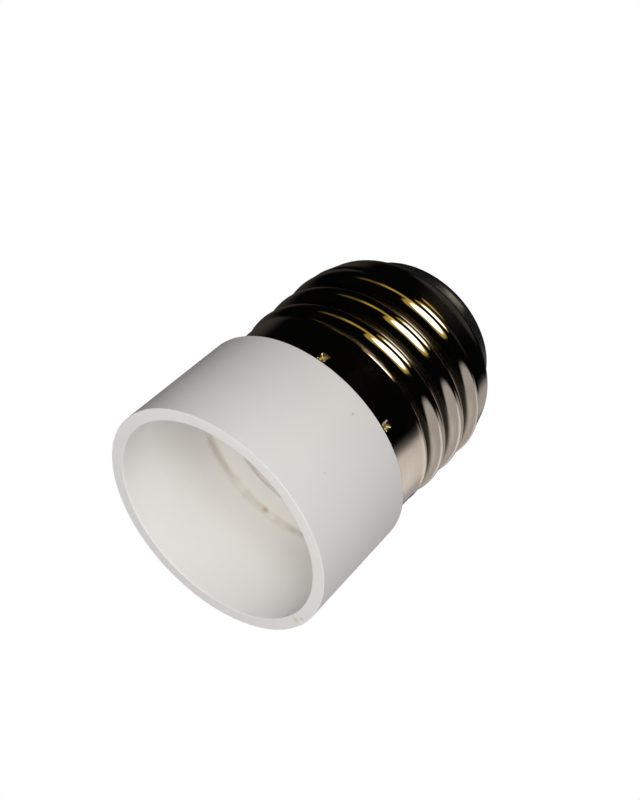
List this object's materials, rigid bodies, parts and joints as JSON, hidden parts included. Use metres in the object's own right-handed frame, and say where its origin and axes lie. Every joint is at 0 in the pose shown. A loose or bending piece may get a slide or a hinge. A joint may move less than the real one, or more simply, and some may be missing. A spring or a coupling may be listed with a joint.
{
  "type": "lamp socket adapter",
  "caption": "White moulded cup on a threaded metal screw cap: lets a small screw lamp fit a larger screw lampholder.",
  "frame": {"origin": "centre of the cup's mouth, on the plane of its rim, which is the lowest plane of the part", "axes": "+Z along the common axis of both screw threads, from the cup's mouth towards the tip contact; +X towards the shell rivet and the side lead; -Y is the side that the picture looks at"},
  "size_m": [0.0286, 0.0286, 0.0434],
  "materials": {
    "white_moulding": "satin, as moulded",
    "nickel_plate": "bright nickel plate on rolled brass sheet",
    "nickel_plate_inner": "bright nickel plate",
    "insulation": "glossy black moulded insulation",
    "contact_brass": "bare, slightly dull",
    "rivet_brass": "bare, dull",
    "spring_brass": "bare, rolled strip",
    "lead_sleeve": "matt sleeve on a thin wire",
    "tinned_wire": "tinned, dull"
  },
  "bodies": {
    "root": {"cup_body": "white_moulding", "large_screw_shell": "nickel_plate", "small_screw_shell": "nickel_plate_inner", "cap_insulator": "insulation", "tip_contact": "contact_brass", "contact_pin": "contact_brass", "shell_rivet": "rivet_brass", "contact_rivet": "rivet_brass", "contact_tongue": "spring_brass", "side_lead": "lead_sleeve", "centre_lead": "tinned_wire"}
  },
  "joints": []
}
